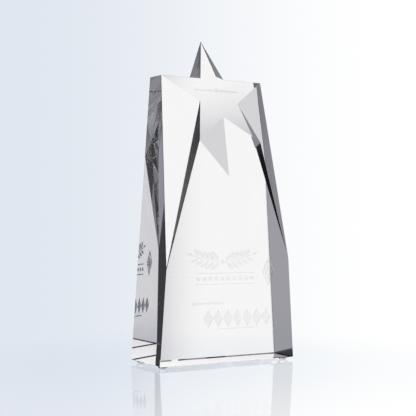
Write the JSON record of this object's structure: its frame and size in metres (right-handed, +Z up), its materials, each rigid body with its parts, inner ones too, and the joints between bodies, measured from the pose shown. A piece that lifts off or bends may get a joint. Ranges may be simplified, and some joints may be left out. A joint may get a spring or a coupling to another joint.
{
  "type": "crystal award",
  "caption": "Free-standing cut-crystal tower award: a leaning five-pointed star with a raised top spike, side grooves, and shallow enamel-filled ornament on the front.",
  "frame": {"origin": "middle of the footprint, on the surface that the award stands on (the soles of the bumper pads)", "axes": "+Z up; the front face with the ornament looks towards -Y; +X is to the right when seen from the front"},
  "size_m": [0.121, 0.0454, 0.2527],
  "materials": {
    "crystal": "clear, polished optical crystal",
    "enamel": "matt pale silver-grey",
    "clear_pad": "clear, soft satin"
  },
  "bodies": {
    "root": {"crystal_tower": "crystal", "name_rule_enamel": "enamel", "laurel_garland_enamel": "enamel", "pearl_band_enamel": "enamel", "lozenge_emblem_enamel": "enamel", "short_dashes_enamel": "enamel", "lozenge_row_enamel": "enamel", "footnote_rule_enamel": "enamel", "bumper_pads": "clear_pad"}
  },
  "joints": []
}
